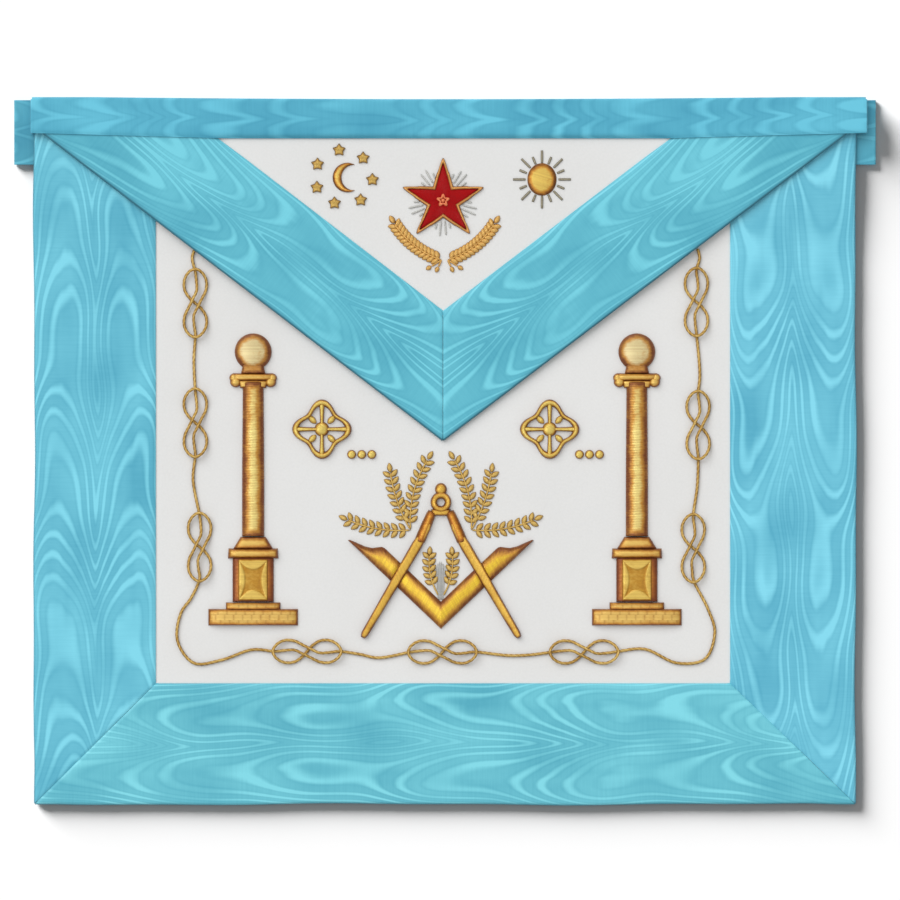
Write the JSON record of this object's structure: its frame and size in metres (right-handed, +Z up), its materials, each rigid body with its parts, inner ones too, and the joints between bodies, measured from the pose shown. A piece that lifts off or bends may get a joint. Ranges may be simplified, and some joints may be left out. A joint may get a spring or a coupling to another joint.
{
  "type": "masonic apron",
  "caption": "Ceremonial leather apron with watered-silk borders, a pointed flap, a waist belt and padded gold embroidery of pillars, square and compasses, star, moon and sun, lying flat.",
  "frame": {"origin": "on the surface under the middle of the bounding box", "axes": "+X to the wearer's left along the waistband, +Y from the foot of the apron to the belt, +Z up out of the embroidered face"},
  "size_m": [0.4204, 0.3442, 0.0099],
  "materials": {
    "white_leather": "fine-grained white lambskin, soft sheen",
    "moire_silk": "ribbed turquoise silk ribbon with a watered pattern, satin sheen",
    "belt_silk": "the same silk ribbon, a little darker where it lies behind",
    "gold_thread": "padded gold bullion thread, metallic satin",
    "pale_gold_thread": "flat pale gold thread, satin",
    "rope_gold": "twisted brownish gold cord couched down",
    "red_thread": "red satin stitch",
    "clasp_brass": "plain brushed brass"
  },
  "bodies": {
    "root": {"panel": "white_leather", "flap": "white_leather", "border_left": "moire_silk", "border_right": "moire_silk", "border_bottom": "moire_silk", "flap_border_left": "moire_silk", "flap_border_right": "moire_silk", "waistband": "moire_silk", "belt": "belt_silk", "belt_clasp": "clasp_brass", "rope": "rope_gold", "pillar_left_globe": "gold_thread", "pillar_left_capital": "gold_thread", "pillar_left_shaft": "gold_thread", "pillar_left_pedestal": "gold_thread", "pillar_left_plinth": "gold_thread", "pillar_right_globe": "gold_thread", "pillar_right_capital": "gold_thread", "pillar_right_shaft": "gold_thread", "pillar_right_pedestal": "gold_thread", "pillar_right_plinth": "gold_thread", "square": "gold_thread", "compasses_head": "gold_thread", "compasses_leg_left": "gold_thread", "compasses_leg_right": "gold_thread", "branch_left": "pale_gold_thread", "branch_right": "pale_gold_thread", "branch_inner": "pale_gold_thread", "ornament_left": "gold_thread", "ornament_right": "gold_thread", "beads_left": "gold_thread", "beads_right": "gold_thread", "star_field": "red_thread", "star_rim": "gold_thread", "star_rosette": "gold_thread", "moon": "gold_thread", "small_star_1": "pale_gold_thread", "small_star_2": "pale_gold_thread", "small_star_3": "pale_gold_thread", "small_star_4": "pale_gold_thread", "small_star_5": "pale_gold_thread", "small_star_6": "pale_gold_thread", "small_star_7": "pale_gold_thread", "sun_disc": "gold_thread", "sun_rays": "pale_gold_thread", "wreath_left": "pale_gold_thread", "wreath_right": "pale_gold_thread"}
  },
  "joints": []
}
